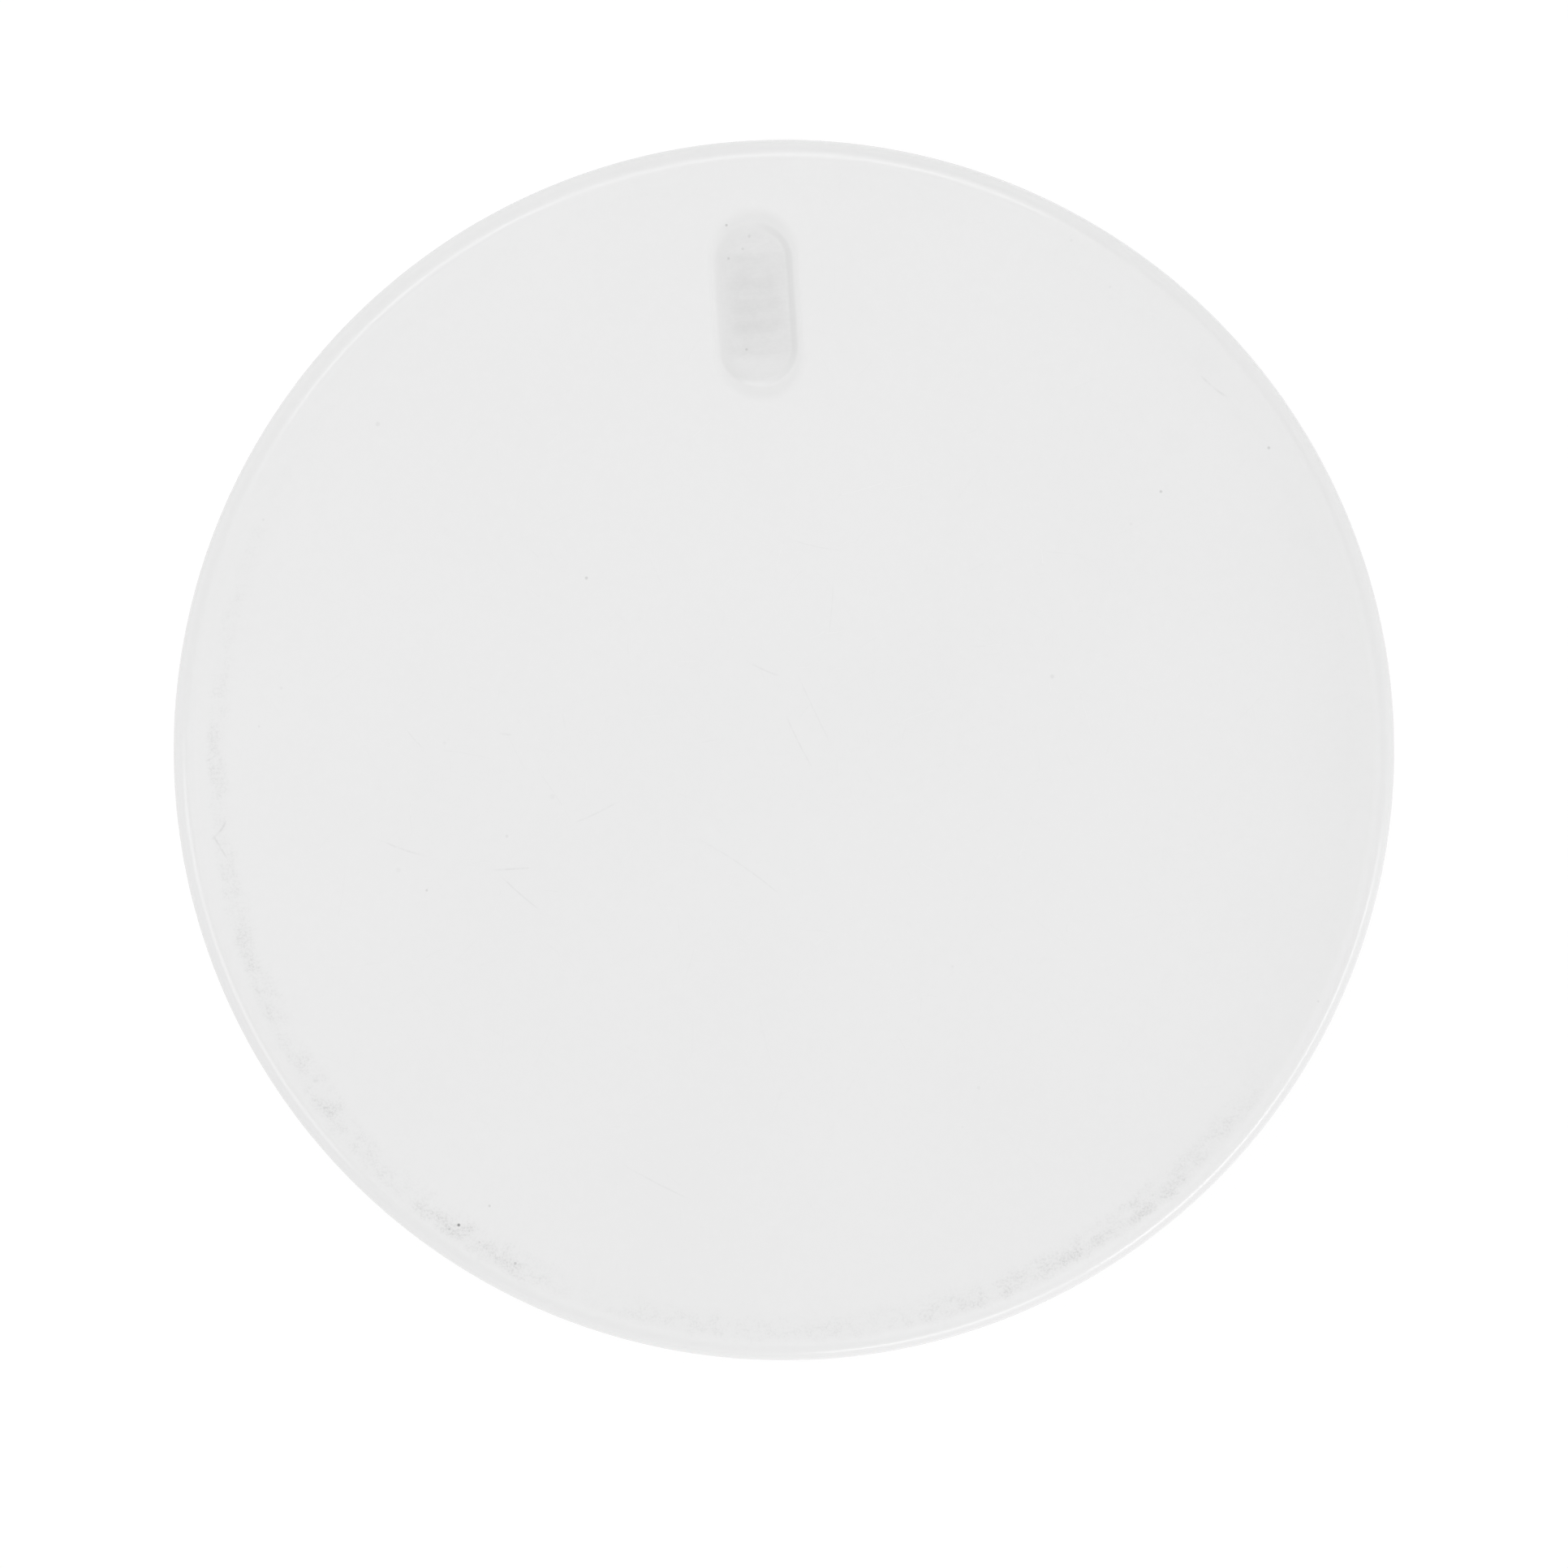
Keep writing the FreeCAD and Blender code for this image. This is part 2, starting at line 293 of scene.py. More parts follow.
def face_rings(land_ring, lip_ring):
    """Rings that carry the dished face from the land to the recess's lip."""
    face_steps = 18
    crowding = 1.5      # above 1, the rings lie closer together near the recess
    rings = []
    for step in range(1, face_steps):
        share = 1 - (1 - step / face_steps) ** crowding
        ring = []
        for far, near in zip(land_ring, lip_ring):
            x = far.x + (near.x - far.x) * share
            y = far.y + (near.y - far.y) * share
            ring.append(Vector((x, y, dish_height(x, y))))
        rings.append(ring)
    return rings


def add_post(bm, degrees):
    """One locating post, from its tip up to the ceiling, where it is left open."""
    angle = math.radians(degrees)
    centre = (post_circle_radius * math.cos(angle), post_circle_radius * math.sin(angle))
    profile = rounded(
        [
            (0.0, post_tip, 0, 0),
            (post_radius - post_tip_chamfer, post_tip, edge_round, 2),
            (post_radius, post_tip + post_tip_chamfer, edge_round, 2),
            (post_radius, ceiling_height, 0, 0),
        ]
    )
    add_rings(bm, [circle(radius, height, centre, POST_POINTS) for radius, height in profile])


def plain_shell_mesh():
    """The whole upper moulding as one closed mesh: rim, dished face, recess, skirt and posts."""
    bm = bmesh.new()
    outside = [circle(radius, height) for radius, height in rim_profile()]
    recess = recess_rings()
    outside += face_rings(outside[-1], recess[0]) + recess
    add_rings(bm, outside)
    inside = rounded(
        [
            (skirt_radius, seam_height + rebate_depth / 2, 0, 0),
            (skirt_radius, seam_height + rebate_depth, edge_round, 3),
            (cavity_radius, seam_height + rebate_depth, edge_round, 3),
            (cavity_radius, ceiling_height, corner_fillet / 2, 6),
            (cavity_radius - corner_fillet, ceiling_height, 0, 0),
        ]
    )
    add_rings(bm, [circle(radius, height) for radius, height in inside])
    for turn in range(post_count):
        add_post(bm, post_first_angle + 360 * turn / post_count)
    return finished_mesh(bm, "plain_face_moulding")


plain_face = new_object("plain_face_moulding", plain_shell_mesh())
plain_face.modifiers.new("even_flats", "WEIGHTED_NORMAL").keep_sharp = True
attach(plain_face, "root")
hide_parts("plain_face_shell")


# --- materials -------------------------------------------------------------------------


class Nodes:
    """Short ways to add shader nodes to one tree. Sockets go in and sockets come out."""

    def __init__(self, tree):
        self.tree = tree

    def add(self, kind, inputs=None, **settings):
        node = self.tree.nodes.new("ShaderNode" + kind)
        for name, value in settings.items():
            setattr(node, name, value)
        for name, value in (inputs or {}).items():
            self.put(node.inputs[name], value)
        return node

    def put(self, socket, value):
        if isinstance(value, bpy.types.NodeSocket):
            self.tree.links.new(value, socket)
        else:
            socket.default_value = value

    def math(self, operation, first, second=0.0, third=0.0):
        node = self.add("Math", {0: first, 1: second, 2: third}, operation=operation)
        return node.outputs[0]

    def vector(self, operation, first, second=(0, 0, 0)):
        node = self.add("VectorMath", {0: first, 1: second}, operation=operation)
        return node.outputs[0]

    def scaled(self, vector, factor):
        node = self.add("VectorMath", {0: vector, "Scale": factor}, operation="SCALE")
        return node.outputs[0]

    def length(self, vector):
        return self.add("VectorMath", {0: vector}, operation="LENGTH").outputs["Value"]

    def split(self, vector):
        return self.add("SeparateXYZ", {0: vector}).outputs

    def join(self, x, y, z=0.0):
        return self.add("CombineXYZ", {0: x, 1: y, 2: z}).outputs[0]

    def ease(self, value, start, end, low=0.0, high=1.0):
        """Smoothly from low at start to high at end, and level beyond them."""
        inputs = {"Value": value, "From Min": start, "From Max": end, "To Min": low, "To Max": high}
        return self.add("MapRange", inputs, interpolation_type="SMOOTHSTEP").outputs[0]

    def noise(self, vector, scale, detail=2.0, roughness=0.5):
        inputs = {"Vector": vector, "Scale": scale, "Detail": detail, "Roughness": roughness}
        return self.add("TexNoise", inputs).outputs[0]

    def most(self, masks):
        """The largest of several masks."""
        result = masks[0]
        for mask in masks[1:]:
            result = self.math("MAXIMUM", result, mask)
        return result

    def product(self, *factors):
        result = factors[0]
        for factor in factors[1:]:
            result = self.math("MULTIPLY", result, factor)
        return result


def start_material(name):
    """A new material with its nodes and its shader."""
    material = bpy.data.materials.new(name)
    material.use_nodes = True
    tree = material.node_tree
    return material, Nodes(tree), tree.nodes["Principled BSDF"]


def millimetres(nodes):
    """The point on the part, in millimetres in its own axes."""
    return nodes.scaled(nodes.add("TexCoord").outputs["Object"], 1 / MM)


def new_group(name, inputs):
    """An empty node group with float inputs, a vector input first and one float output."""
    tree = bpy.data.node_groups.new(name, "ShaderNodeTree")
    tree.interface.new_socket("Place", in_out="INPUT", socket_type="NodeSocketVector")
    for label in inputs:
        tree.interface.new_socket(label, in_out="INPUT", socket_type="NodeSocketFloat")
    tree.interface.new_socket("Mask", in_out="OUTPUT", socket_type="NodeSocketFloat")
    nodes = Nodes(tree)
    entry = tree.nodes.new("NodeGroupInput").outputs
    leave = tree.nodes.new("NodeGroupOutput").inputs["Mask"]
    return tree, nodes, entry, leave


def stroke_mask(nodes, along, across, bend):
    """A line of half length and half width 1, slightly bent, that fades towards its ends."""
    bow = nodes.product(along, along, bend)
    off_line = nodes.math("ABSOLUTE", nodes.math("SUBTRACT", across, bow))
    line = nodes.ease(off_line, 1.0, 0.2)
    fade = nodes.ease(nodes.math("ABSOLUTE", along), 1.0, 0.5)
    return nodes.product(line, fade)


def make_hairline_group():
    """Scratches strewn at random, at most one in each cell of a given size."""
    labels = ("Cell", "Length", "Width", "Share")
    tree, nodes, entry, leave = new_group("hairlines", labels)
    scale = nodes.math("DIVIDE", 1.0, entry["Cell"])
    cells = nodes.add(
        "TexVoronoi", {"Vector": entry["Place"], "Scale": scale}, voronoi_dimensions="2D"
    )
    local = nodes.vector("SUBTRACT", entry["Place"], cells.outputs["Position"])
    red, green, blue = nodes.split(cells.outputs["Color"])
    turned = nodes.add(
        "VectorRotate",
        {"Vector": local, "Angle": nodes.math("MULTIPLY", red, math.tau)},
        rotation_type="Z_AXIS",
    )
    x, y, _ = nodes.split(turned.outputs[0])
    spread = nodes.math("ADD", 0.2, nodes.product(blue, 0.3))
    along = nodes.math("DIVIDE", x, nodes.product(entry["Length"], spread))
    across = nodes.math("DIVIDE", y, entry["Width"])
    bend = nodes.math("MULTIPLY", nodes.math("SUBTRACT", blue, 0.5), 5.0)
    chosen = nodes.math("LESS_THAN", green, entry["Share"])
    depth = nodes.math("ADD", 0.35, nodes.product(red, 0.65))
    mask = stroke_mask(nodes, along, across, bend)
    tree.links.new(nodes.product(mask, chosen, depth), leave)
    return tree


def make_speck_group():
    """Round specks strewn at random, at most one in each cell of a given size."""
    labels = ("Cell", "Radius", "Share")
    tree, nodes, entry, leave = new_group("specks", labels)
    scale = nodes.math("DIVIDE", 1.0, entry["Cell"])
    cells = nodes.add(
        "TexVoronoi", {"Vector": entry["Place"], "Scale": scale}, voronoi_dimensions="2D"
    )
    away = nodes.length(nodes.vector("SUBTRACT", entry["Place"], cells.outputs["Position"]))
    red, green, _ = nodes.split(cells.outputs["Color"])
    radius = nodes.product(entry["Radius"], nodes.math("ADD", 0.45, nodes.product(red, 0.55)))
    dot = nodes.ease(nodes.math("DIVIDE", away, radius), 1.0, 0.4)
    chosen = nodes.math("LESS_THAN", green, entry["Share"])
    tree.links.new(nodes.product(dot, chosen), leave)
    return tree


groups = {"hairlines": make_hairline_group(), "specks": make_speck_group()}


def use_group(nodes, name, place, **values):
    node = nodes.add("Group", node_tree=groups[name])
    nodes.put(node.inputs["Place"], place)
    for label, value in values.items():
        nodes.put(node.inputs[label], value)
    return node.outputs["Mask"]


def turned_ramp(nodes, turn, stops):
    """A strength that depends on the direction from the middle, from (degrees, strength) stops."""
    share = nodes.math("FRACT", nodes.math("ADD", nodes.math("DIVIDE", turn, math.tau), 1.0))
    ramp = nodes.add("ValToRGB", {"Fac": share})
    ramp.color_ramp.interpolation = "EASE"
    elements = ramp.color_ramp.elements
    elements.remove(elements[1])
    for index, (degrees, strength) in enumerate(stops):
        element = elements[0] if index == 0 else elements.new(degrees / 360)
        element.color = (strength, strength, strength, 1)
    return ramp.outputs["Color"]


def scratches(nodes, place, lines):
    """Stated scratches: (x, y, degrees, length, width, bow, depth), in millimetres."""
    masks = []
    for x, y, degrees, length, width, bow, depth in lines:
        inputs = {
            "Vector": place,
            "Location": (x, y, 0),
            "Rotation": (0, 0, math.radians(degrees)),
            "Scale": (length / 2, width, 1),
        }
        local = nodes.add("Mapping", inputs, vector_type="TEXTURE")
        along, across, _ = nodes.split(local.outputs[0])
        masks.append(nodes.product(stroke_mask(nodes, along, across, bow / width), depth))
    return nodes.most(masks)


def dots(nodes, place, marks):
    """Stated specks: (x, y, radius, depth), in millimetres."""
    masks = []
    for x, y, radius, depth in marks:
        away = nodes.add("VectorMath", {0: place, 1: (x, y, 0)}, operation="DISTANCE")
        masks.append(nodes.ease(away.outputs["Value"], radius, radius * 0.35, 0.0, depth))
    return nodes.most(masks)


def capsule_distance(nodes, x, local_y, half_straight):
    """Distance from the middle line of a capsule that lies along Y."""
    held = nodes.math("MINIMUM", nodes.math("MAXIMUM", local_y, -half_straight), half_straight)
    return nodes.length(nodes.join(x, nodes.math("SUBTRACT", local_y, held)))


def darkened(nodes, tone, *masks_and_losses):
    """The tone, less a share of itself for each mask."""
    for mask, loss in masks_and_losses:
        tone = nodes.product(tone, nodes.math("SUBTRACT", 1.0, nodes.product(mask, loss)))
    return tone


def land_grime(nodes, place, y, radius, turn, stops):
    """Handling dirt along the flat land: broad smears of fine soot with a ragged inner edge, which
    lie further out towards -Y, where they reach onto the rim."""
    smear_place = nodes.join(nodes.product(turn, 14), nodes.product(radius, 1.3))
    smear = nodes.ease(nodes.noise(smear_place, 1.0, 3.0, 0.6), 0.34, 0.62, 0.3, 1.0)
    clumps = nodes.ease(nodes.noise(place, 1.9, 2.0), 0.38, 0.62, 0.45, 1.45)
    soot = nodes.ease(nodes.noise(place, 9.0, 3.0, 0.75), 0.42, 0.66, 0.25, 1.4)
    wisps = nodes.noise(nodes.join(nodes.product(turn, 120), nodes.product(radius, 0.6)), 1.0, 2.0)
    reach = nodes.ease(y, 0.0, -18.0)
    middle = nodes.math("ADD", 23.2, nodes.product(reach, 0.5))
    off = nodes.math("SUBTRACT", radius, middle)
    inner = nodes.math("ADD", nodes.math("SUBTRACT", wisps, 1.25), nodes.product(reach, -0.15))
    outer = nodes.math("SUBTRACT", 0.75, nodes.product(wisps, 0.6))
    outer = nodes.math("ADD", outer, nodes.product(reach, 0.2))
    band = nodes.product(nodes.ease(off, inner, 0.05), nodes.ease(off, outer, 0.1))
    return nodes.product(band, turned_ramp(nodes, turn, stops), smear, clumps, soot)


def moulding_material(name, lines, marks, grime_stops, seed, recess=False):
    """White polished plastic with handling wear, a little darker towards +X near the rim, with
    painted shade on its side wall and in its recess when it has one; in millimetres on the part's
    own X and Y.
    """
    material, nodes, shader = start_material(name)
    position = millimetres(nodes)
    x, y, z = nodes.split(position)
    place = nodes.join(x, y, seed)
    radius = nodes.length(nodes.join(x, y))
    turn = nodes.math("ARCTAN2", y, x)
    on_face = nodes.ease(radius, 24.4, 23.9)

    worn_middle = nodes.ease(radius, 22.0, 6.0, 0.35, 1.0)
    moved = nodes.vector("ADD", place, (seed * 9, seed * 5, 0))
    long_hair = use_group(
        nodes, "hairlines", moved, Cell=3.1, Length=2.8, Width=0.035, Share=0.5
    )
    short_hair = use_group(
        nodes, "hairlines", moved, Cell=1.37, Length=1.1, Width=0.03, Share=0.4
    )
    hair = nodes.product(nodes.most([long_hair, short_hair]), worn_middle, on_face)
    broken = nodes.ease(nodes.noise(place, 2.6, 2.0, 0.7), 0.36, 0.6, 0.3, 1.0)
    stated = nodes.product(scratches(nodes, place, lines), on_face, broken)
    stray = use_group(nodes, "specks", moved, Cell=3.4, Radius=0.055, Share=0.25)
    stray = nodes.product(stray, on_face)
    spots = nodes.product(dots(nodes, nodes.join(x, y), marks), on_face)
    grime = land_grime(nodes, place, y, radius, turn, grime_stops)
    # The face is made a little darker towards +X near the rim.
    plus_x_darkening = nodes.product(nodes.ease(x, 12.0, 24.0), nodes.ease(radius, 18.0, 24.0))

    fine = nodes.noise(place, 2.2, 3.0, 0.7)
    broad = nodes.noise(place, 0.11, 1.0)
    tone = nodes.ease(nodes.math("ADD", broad, fine), 0.6, 1.4, 0.993, 1.007)
    tone = darkened(
        nodes,
        tone,
        (hair, 0.03),
        (stated, 0.05),
        (stray, 0.05),
        (spots, 0.5),
        (grime, 0.15),
        (plus_x_darkening, 0.02),
    )
    off_seam = nodes.math("ABSOLUTE", nodes.math("SUBTRACT", z, seam_height / MM))
    seam_dirt = nodes.product(
        nodes.ease(off_seam, 0.26, 0.05),
        nodes.ease(nodes.noise(position, 0.9, 2.0), 0.3, 0.7, 0.5, 1.0),
    )
    # Painted shade: the side wall is a little darker than the faces.
    side_wall_shade = nodes.ease(off_seam, 3.5, 3.1)
    tone = darkened(nodes, tone, (seam_dirt, 0.3), (side_wall_shade, 0.04))
    if recess:
        # Painted shade in the recess, with a few soot specks.
        tone = nodes.product(tone, recess_shade_and_soot(nodes, x, y, place))
    white = nodes.product(tone, plastic_white)
    nodes.put(shader.inputs["Base Color"], nodes.join(white, white, white))

    rough = nodes.ease(nodes.noise(place, 0.35, 3.0), 0.3, 0.7, 0.18, 0.22)
    worn = nodes.math("ADD", nodes.product(hair, 0.12), nodes.product(grime, 0.03))
    nodes.put(shader.inputs["Roughness"], nodes.math("ADD", rough, worn))
    shader.inputs["Specular IOR Level"].default_value = plastic_specular

    peel = nodes.noise(position, 1.1, 1.0)
    bump = nodes.add("Bump", {"Height": peel, "Distance": peel_height, "Strength": 1.0})
    nodes.put(shader.inputs["Normal"], bump.outputs[0])
    return material


def recess_shade_and_soot(nodes, x, y, place):
    """Painted shade in and round the recess: slight on its lip, more on its floor, most over the
    weight, with painted shade bands over the floor's ripples and painted shadow lines along the
    step's walls; faint streaks on the floor, and soot specks at its outer end.
    """
    local_y = nodes.math("SUBTRACT", y, recess_radius / MM)
    away = nodes.math("ABSOLUTE", local_y)
    outer = capsule_distance(nodes, x, local_y, lip_half_straight / MM)
    inner = capsule_distance(nodes, x, local_y, recess_half_straight / MM)
    edge = lip_half_width / MM
    step = recess_half_width / MM
    softness = nodes.ease(x, -1.7, 1.2, 0.5, 0.3)
    lip = nodes.ease(outer, edge + 0.15, nodes.math("SUBTRACT", edge, softness))
    far_lip = nodes.product(lip, nodes.ease(local_y, 2.5, 3.3))
    depth_into = nodes.math("SUBTRACT", step + 0.1, nodes.product(softness, 1.4))
    floor = nodes.ease(inner, step + 0.15, depth_into)
    floor = nodes.product(floor, nodes.ease(local_y, -2.5, -1.9, 0.6, 1.0))
    ends = nodes.ease(away, 2.3, 1.9)
    sides = nodes.ease(x, 1.25, 0.5)
    shadow = nodes.product(ends, nodes.ease(inner, step - 0.1, step - 0.7), sides)
    off_middle = nodes.math("ABSOLUTE", nodes.math("ADD", x, 0.4))
    middle = nodes.product(ends, nodes.ease(off_middle, 0.65, 0.1))
    weight = nodes.product(nodes.ease(away, 1.45, 1.0), nodes.ease(inner, step - 0.2, step - 0.9))
    wave = nodes.math("COSINE", nodes.product(local_y, math.tau * MM / ripple_pitch))
    bands = nodes.math("ADD", 0.5, nodes.product(wave, 0.5))
    cloud = nodes.ease(nodes.noise(place, 1.6, 3.0, 0.6), 0.3, 0.7, 0.75, 1.15)
    # Painted shadow lines along the step: on its right side, at its lower end, and on its left side.
    off_crease = nodes.math("ABSOLUTE", nodes.math("SUBTRACT", inner, step - 0.03))
    crease_shade = nodes.product(nodes.ease(off_crease, 0.2, 0.05), nodes.ease(x, -0.1, 1.4))
    near_wall_shade = nodes.product(nodes.ease(off_crease, 0.17, 0.04), nodes.ease(local_y, -2.2, -2.9))
    wall_shade = nodes.product(
        nodes.ease(inner, step + 0.2, step),
        nodes.ease(inner, step - 0.6, step - 0.1),
        nodes.ease(x, 0.0, -1.1),
    )
    soot = use_group(nodes, "specks", place, Cell=0.34, Radius=0.11, Share=0.4)
    corner = nodes.product(nodes.ease(local_y, 0.9, 2.2), nodes.ease(x, 0.6, -0.5), floor)
    streaks = nodes.noise(nodes.join(nodes.product(x, 3.0), nodes.product(y, 7.0)), 1.0, 3.0, 0.7)
    streaks = nodes.product(nodes.ease(streaks, 0.34, 0.66, -1.0, 1.0), floor)
    return darkened(
        nodes,
        1.0,
        (lip, 0.042),
        (far_lip, 0.015),
        (nodes.product(floor, cloud), 0.030),
        (nodes.product(ends, floor, cloud), 0.022),
        (nodes.product(weight, cloud), 0.018),
        (nodes.product(weight, bands), 0.025),
        (shadow, 0.014),
        (middle, 0.013),
        (crease_shade, 0.065),
        (wall_shade, 0.03),
        (near_wall_shade, 0.022),
        (streaks, 0.011),
        (corner, 0.008),
        (nodes.product(corner, soot), 0.085),
    )


# Wear on the plain face, in millimetres: x, y, degrees, length, width, bow, depth
plain_scratches = [
    (0.6, 0.3, -67, 2.6, 0.05, 0.04, 1.0),
    (1.3, 1.6, -68, 3.4, 0.04, 0.03, 0.8),
    (-0.6, 3.3, -28, 1.5, 0.06, 0.05, 0.9),
    (-2.0, -4.6, -38, 4.6, 0.05, -0.15, 0.9),
    (-11.15, -5.15, -45, 2.4, 0.05, 0.05, 1.1),
    (-11.3, -4.15, 0, 1.9, 0.06, 0.0, 1.3),
    (-11.3, 1.35, -10, 0.6, 0.06, 0.0, 0.9),
    (-15.7, -3.1, -22, 2.3, 0.06, 0.08, 1.1),
    (-15.0, 1.35, -52, 1.1, 0.05, 0.03, 0.8),
    (-23.15, -1.85, 48, 1.1, 0.07, 0.08, 2.4),
    (-23.2, -2.5, -62, 1.3, 0.06, 0.0, 1.7),
    (-23.2, 1.2, 35, 0.9, 0.06, 0.06, 1.6),
    (-7.8, -2.1, 22, 2.2, 0.05, 0.05, 0.9),
    (1.8, 8.2, -16, 2.6, 0.04, 0.1, 0.7),
    (2.3, 5.6, 82, 2.6, 0.04, 0.05, 0.6),
    (-6.3, -17.3, -31, 3.4, 0.05, 0.05, 0.9),
    (18.4, 13.65, -43, 1.6, 0.07, 0.06, 1.5),
]
# x, y, radius, depth. Rows 1 to 15 and 18 stand where a search program found dark specks, rounded.
# The other rows are set one by one.
plain_marks = [
    (-14.45, -18.5, 0.085, 1.3),
    (-12.25, -20.2, 0.08, 0.5),
    (-13.15, -17.8, 0.07, 0.35),
    (-7.6, 7.5, 0.09, 0.4),
    (16.0, 9.55, 0.08, 0.45),
    (20.5, 11.05, 0.085, 0.42),
    (-1.0, 21.5, 0.075, 0.5),
    (-1.0, 20.15, 0.075, 0.35),
    (-0.1, 21.0, 0.09, 0.2),
    (-0.4, 20.5, 0.08, 0.22),
    (-0.5, 16.4, 0.075, 0.35),
    (-14.9, -4.8, 0.07, 0.3),
    (-11.5, -2.8, 0.09, 0.18),
    (-15.7, 14.3, 0.13, 0.14),
    (11.1, 2.3, 0.12, 0.16),
    (-16.0, -3.9, 0.14, 0.07),
    (-9.55, -1.3, 0.14, 0.07),
    (-14.85, -18.65, 0.055, 0.4),
    (-13.65, -19.25, 0.055, 0.35),
    (16.6, 11.5, 0.8, 0.012),
    (18.2, 14.7, 0.9, 0.014),
    (21.6, 7.4, 0.7, 0.01),
    (-13.8, 1.15, 0.11, 0.06),
    (-20.3, 3.8, 0.09, 0.09),
    (-21.3, 2.3, 0.06, 0.14),
    (-20.6, 10.7, 0.07, 0.12),
    (21.1, -11.6, 0.07, 0.25),
    (7.05, -14.25, 0.1, 0.09),
    (6.3, -15.8, 0.08, 0.07),
    (6.3, -9.25, 0.1, 0.07),
    (13.0, 20.0, 0.08, 0.09),
    (14.45, 18.0, 0.08, 0.1),
    (14.7, 8.3, 0.08, 0.1),
]
# Degrees anticlockwise from +X, and how dirty the land is there
plain_grime = [
    (0, 0.05),
    (148, 0.05),
    (162, 0.25),
    (182, 0.45),
    (196, 0.5),
    (202, 0.85),
    (206, 0.15),
    (210, 0.6),
    (216, 0.7),
    (224, 0.35),
    (234, 1.0),
    (240, 0.7),
    (245, 0.12),
    (256, 0.35),
    (274, 0.3),
    (290, 0.75),
    (305, 1.0),
    (314, 0.45),
    (326, 0.05),
]
# The same for the marked face, which lies on the table
marked_scratches = [
    (3.0, 4.0, 25, 5.0, 0.05, 0.1, 0.9),
    (-4.0, 1.5, -50, 3.6, 0.05, 0.1, 0.9),
    (-2.5, -5.5, 12, 4.4, 0.04, -0.1, 0.8),
    (16.0, -5.0, 70, 3.0, 0.05, 0.05, 0.9),
    (6.0, -15.0, -20, 3.4, 0.05, 0.05, 0.8),
]
marked_marks = [(5.2, -2.4, 0.1, 0.5), (-17.0, 6.0, 0.09, 0.4), (12.5, 12.8, 0.1, 0.4)]
marked_grime = [(0, 0.7), (70, 0.35), (130, 0.9), (200, 0.5), (260, 0.95), (310, 0.4)]

plain_white = moulding_material(
    "plain_moulding_white", plain_scratches, plain_marks, plain_grime, 3.0, recess=True
)
marked_white = moulding_material(
    "marked_moulding_white", marked_scratches, marked_marks, marked_grime, 71.0
)


def paint_material(name, colour, seed):
    """Satin enamel flowed into the engraving: patchy, slightly rippled, finely scratched."""
    material, nodes, shader = start_material(name)
    position = millimetres(nodes)
    place = nodes.vector("ADD", position, (seed, seed, seed))
    patches = nodes.noise(place, 0.7, 3.0, 0.6)
    grain = nodes.noise(place, 7.0, 2.0)
    hair = use_group(nodes, "hairlines", place, Cell=1.1, Length=1.3, Width=0.03, Share=0.4)
    tone = nodes.ease(patches, 0.3, 0.7, 0.9, 1.08)
    tone = nodes.math("ADD", tone, nodes.ease(grain, 0.35, 0.7, -0.04, 0.05))
    tone = nodes.math("ADD", tone, nodes.product(hair, 0.35))
    nodes.put(shader.inputs["Base Color"], nodes.scaled(colour, tone))
    rough = nodes.ease(patches, 0.3, 0.7, 0.3, 0.45)
    nodes.put(shader.inputs["Roughness"], nodes.math("ADD", rough, nodes.product(hair, 0.2)))
    ripple_height = nodes.math("ADD", nodes.product(nodes.noise(place, 1.6, 2.0), 4.0), grain)
    bump = nodes.add("Bump", {"Height": ripple_height, "Distance": 3e-6})
    nodes.put(shader.inputs["Normal"], bump.outputs[0])
    return material


def steel_material():
    """Turned mild steel: fine concentric tool marks, oily patches and a few rust freckles."""
    material, nodes, shader = start_material("turned_steel")
    position = millimetres(nodes)
    x, y, z = nodes.split(position)
    radius = nodes.length(nodes.join(x, y))
    tool = nodes.join(nodes.product(radius, 9.0), nodes.product(z, 9.0))
    marks = nodes.noise(tool, 1.0, 3.0, 0.7)
    oil = nodes.noise(position, 0.4, 3.0, 0.6)
    rust = use_group(nodes, "specks", position, Cell=1.6, Radius=0.22, Share=0.12)
    rust = nodes.product(rust, nodes.ease(nodes.noise(position, 3.0, 3.0), 0.4, 0.6))
    bright_marks = nodes.ease(marks, 0.3, 0.7, 0.86, 1.1)
    tone = nodes.product(bright_marks, nodes.ease(oil, 0.3, 0.7, 0.9, 1.05))
    clean = nodes.scaled((0.56, 0.56, 0.57), tone)
    mix = nodes.add("Mix", {"Factor": rust}, data_type="RGBA")
    nodes.put(mix.inputs["A"], clean)
    mix.inputs["B"].default_value = (0.16, 0.07, 0.03, 1)
    nodes.put(shader.inputs["Base Color"], mix.outputs["Result"])
    shader.inputs["Metallic"].default_value = 1.0
    rough = nodes.math("ADD", nodes.ease(oil, 0.3, 0.7, 0.24, 0.4), nodes.product(rust, 0.4))
    nodes.put(shader.inputs["Roughness"], rough)
    bump = nodes.add("Bump", {"Height": marks, "Distance": 8e-6})
    nodes.put(shader.inputs["Normal"], bump.outputs[0])
    return material


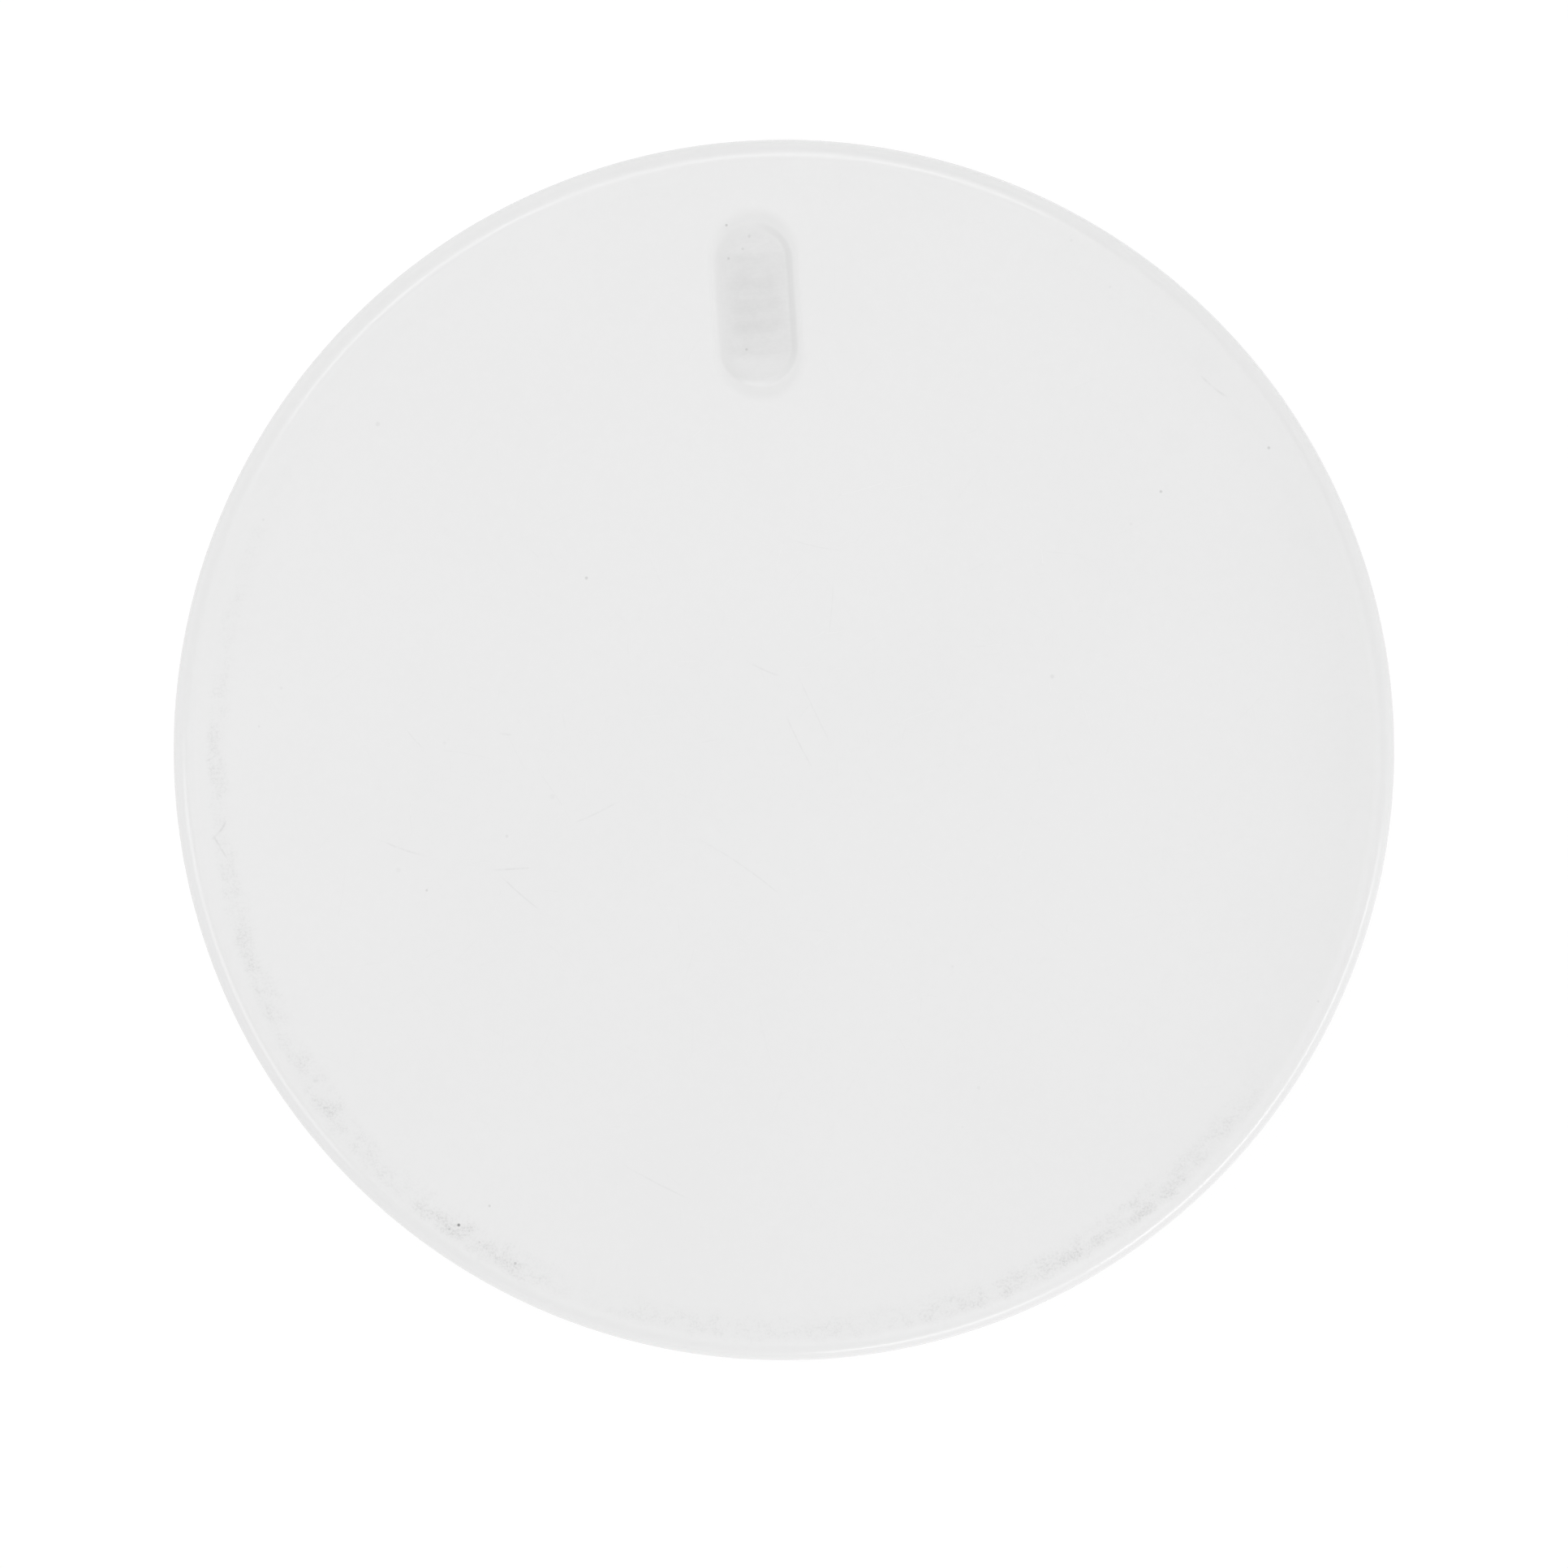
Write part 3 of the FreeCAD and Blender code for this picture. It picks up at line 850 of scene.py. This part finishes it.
def foam_material():
    """Dark closed-cell foam: small round cells with thin paler walls."""
    material, nodes, shader = start_material("closed_cell_foam")
    position = millimetres(nodes)
    cells = nodes.add("TexVoronoi", {"Vector": position, "Scale": 3.2})
    fill = cells.outputs["Distance"]
    shade, _, _ = nodes.split(cells.outputs["Color"])
    mottle = nodes.noise(position, 0.5, 2.0)
    tone = nodes.math("ADD", nodes.ease(fill, 0.1, 0.75, 0.7, 1.5), nodes.product(shade, 0.35))
    tone = nodes.product(tone, nodes.ease(mottle, 0.3, 0.7, 0.85, 1.15))
    nodes.put(shader.inputs["Base Color"], nodes.scaled((0.05, 0.05, 0.055), tone))
    nodes.put(shader.inputs["Roughness"], nodes.ease(shade, 0.0, 1.0, 0.8, 0.95))
    bump = nodes.add("Bump", {"Height": fill, "Distance": 6e-5})
    nodes.put(shader.inputs["Normal"], bump.outputs[0])
    return material


black_enamel = paint_material("black_enamel", (0.02, 0.02, 0.022), 11.0)
red_enamel = paint_material("red_enamel", (0.55, 0.02, 0.025), 23.0)


def finish_with(piece, material):
    piece.data.materials.clear()
    piece.data.materials.append(material)


finish_with(plain_face, plain_white)
finishes = {
    "marked_face_shell": marked_white,
    "ring_weight": steel_material(),
    "foam_ring": foam_material(),
    "border_fill": black_enamel,
    "spade_fill": black_enamel,
    "club_fill": black_enamel,
    "heart_fill": red_enamel,
    "diamond_fill": red_enamel,
}
for node_name, material in finishes.items():
    finish_with(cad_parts[node_name], material)


# --- floor, light and camera -----------------------------------------------------------


def floor_material():
    """A pale glowing board, with a painted contact shadow in the crack under the button, and its
    glow a little dimmer far away.
    """
    material, nodes, shader = start_material("pale_floor")
    x, y, _ = nodes.split(nodes.add("TexCoord").outputs["Object"])
    radius = nodes.length(nodes.join(x, y))
    # Painted contact shadow: the glow is dimmer right under the button's edge.
    glow_and_contact_shadow = nodes.ease(radius, outer_radius - 1.0 * MM, outer_radius + 0.4 * MM, 0.2, 0.9)
    distance_fade = nodes.ease(radius, 0.2, 2.0, 1.0, 0.91)
    shader.inputs["Base Color"].default_value = (0.12, 0.12, 0.12, 1)
    shader.inputs["Roughness"].default_value = 0.6
    shader.inputs["Specular IOR Level"].default_value = 0.0
    shader.inputs["Emission Color"].default_value = (1, 1, 1, 1)
    nodes.put(shader.inputs["Emission Strength"], nodes.product(glow_and_contact_shadow, distance_fade))
    return material


def make_floor():
    bm = bmesh.new()
    bmesh.ops.create_grid(bm, x_segments=8, y_segments=8, size=floor_half_size)
    mesh = bpy.data.meshes.new("floor")
    bm.to_mesh(mesh)
    bm.free()
    floor = new_object("floor", mesh)
    mesh.materials.append(floor_material())


image_roll = math.radians(3.6)      # the recess stands this far left of straight up in the picture


def image_direction(clock_degrees, elevation_degrees):
    """A direction from an angle in the picture, 0 right and 90 up, and a height above the table."""
    angle = math.radians(clock_degrees) - image_roll
    lift = math.radians(elevation_degrees)
    return Vector(
        (math.cos(angle) * math.cos(lift), math.sin(angle) * math.cos(lift), math.sin(lift))
    )


def softbox(name, direction, distance, width, height, power, shape="RECTANGLE"):
    data = bpy.data.lights.new(name, "AREA")
    data.shape = shape
    data.size = width
    data.size_y = height
    data.energy = power
    lamp = bpy.data.objects.new(name, data)
    lamp.location = direction * distance
    lamp.rotation_mode = "QUATERNION"
    lamp.rotation_quaternion = direction.to_track_quat("Z", "Y")
    lamp.visible_camera = False
    bpy.context.scene.collection.objects.link(lamp)


def make_world():
    """An even white room, brighter towards the horizon."""
    world = bpy.data.worlds.new("studio")
    world.use_nodes = True
    nodes = Nodes(world.node_tree)
    background = world.node_tree.nodes["Background"]
    background.inputs["Color"].default_value = (1, 1, 1, 1)
    _, _, height = nodes.split(nodes.add("TexCoord").outputs["Generated"])
    nodes.put(background.inputs["Strength"], nodes.ease(height, 0.0, 0.25, 0.84, 0.49))
    bpy.context.scene.world = world


def make_lights():
    """A wide ceiling panel, with softboxes round the table that give the rim its highlights. The
    powers and the room's strength began as a least-squares fit, then rounded and changed."""
    softbox("ceiling", Vector((0, 0, 1)), 0.9, 1.7, 1.7, 4.95, "DISK")
    # picture angle, elevation, width, height, power
    lamps = {
        "key_right": (-22, 5, 0.3, 0.1, 0.36),
        "key": (-47, 4, 0.3, 0.1, 0.56),
        "key_low": (-75, 5, 0.3, 0.1, 0.38),
        "left_panel": (-158, 25, 0.5, 0.2, 0.65),
        "right_panel": (38, 18, 0.6, 0.22, 0.24),
        "top_right_low": (80, 40, 0.28, 0.2, 0.2),
        "top_right": (82, 51, 0.3, 0.1, 0.28),
        "top_left": (122, 59, 0.32, 0.1, 0.3),
    }
    for name, (clock, elevation, width, height, power) in lamps.items():
        softbox(name, image_direction(clock, elevation), lamp_distance, width, height, power)


def make_camera():
    data = bpy.data.cameras.new("camera")
    data.sensor_width = 36.0
    data.lens = 200.0
    camera = bpy.data.objects.new("camera", data)
    frame_width = 64.1 * MM
    centre_above_middle = 1.39 * MM
    distance = frame_width * data.lens / data.sensor_width
    image_up = Vector((math.sin(image_roll), math.cos(image_roll), 0))
    offset = -centre_above_middle * image_up
    camera.location = (offset.x, offset.y, thickness - rim_fillet + distance)
    camera.rotation_euler = (0, 0, -image_roll)
    data.clip_start = 0.01
    data.clip_end = 20
    bpy.context.scene.collection.objects.link(camera)
    bpy.context.scene.camera = camera


make_floor()
make_world()
make_lights()
make_camera()
bpy.context.scene.view_settings.view_transform = "Standard"
